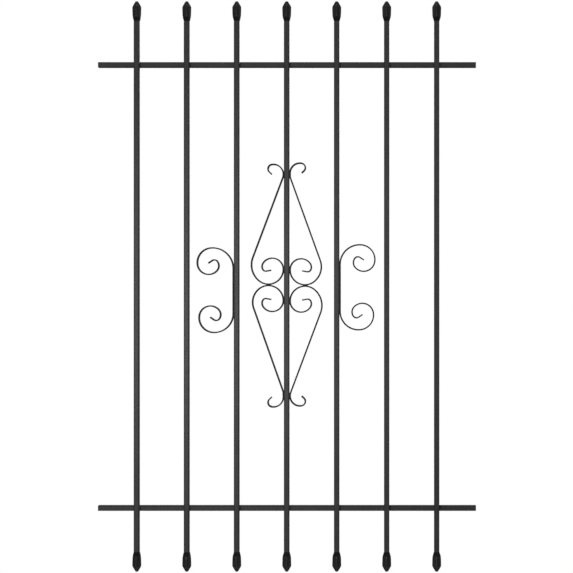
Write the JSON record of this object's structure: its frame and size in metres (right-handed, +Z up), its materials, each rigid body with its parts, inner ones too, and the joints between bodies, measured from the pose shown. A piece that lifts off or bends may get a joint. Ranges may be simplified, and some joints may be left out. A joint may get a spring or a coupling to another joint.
{
  "type": "window security grille",
  "caption": "Window security grille of upright square tube bars with spear finials, welded across horizontal rails, with S-scrolls in a diamond and C-scrolls beside it.",
  "frame": {"origin": "the middle of the lower rail's wall face", "axes": "+X to the right along the rails as seen from outside, +Y into the wall, +Z up along the bars"},
  "size_m": [0.9144, 0.0299, 1.377],
  "materials": {
    "bars": "satin black paint on drawn square steel tube",
    "rails": "satin black paint on drawn square steel tube",
    "scrolls": "satin black paint on bent flat steel bar",
    "finials": "satin black paint on a cast spear",
    "welds": "satin black paint over weld beads"
  },
  "bodies": {
    "root": {"bar_1": "bars", "bar_2": "bars", "bar_3": "bars", "bar_4": "bars", "bar_5": "bars", "bar_6": "bars", "bar_7": "bars", "lower_rail": "rails", "upper_rail": "rails", "s_scroll_upper_left": "scrolls", "s_scroll_upper_right": "scrolls", "s_scroll_lower_left": "scrolls", "s_scroll_lower_right": "scrolls", "c_scroll_left": "scrolls", "c_scroll_right": "scrolls", "upper_finial_1": "finials", "upper_finial_2": "finials", "upper_finial_3": "finials", "upper_finial_4": "finials", "upper_finial_5": "finials", "upper_finial_6": "finials", "upper_finial_7": "finials", "lower_finial_1": "finials", "lower_finial_2": "finials", "lower_finial_3": "finials", "lower_finial_4": "finials", "lower_finial_5": "finials", "lower_finial_6": "finials", "lower_finial_7": "finials", "rail_welds": "welds", "scroll_welds": "welds"}
  },
  "joints": []
}
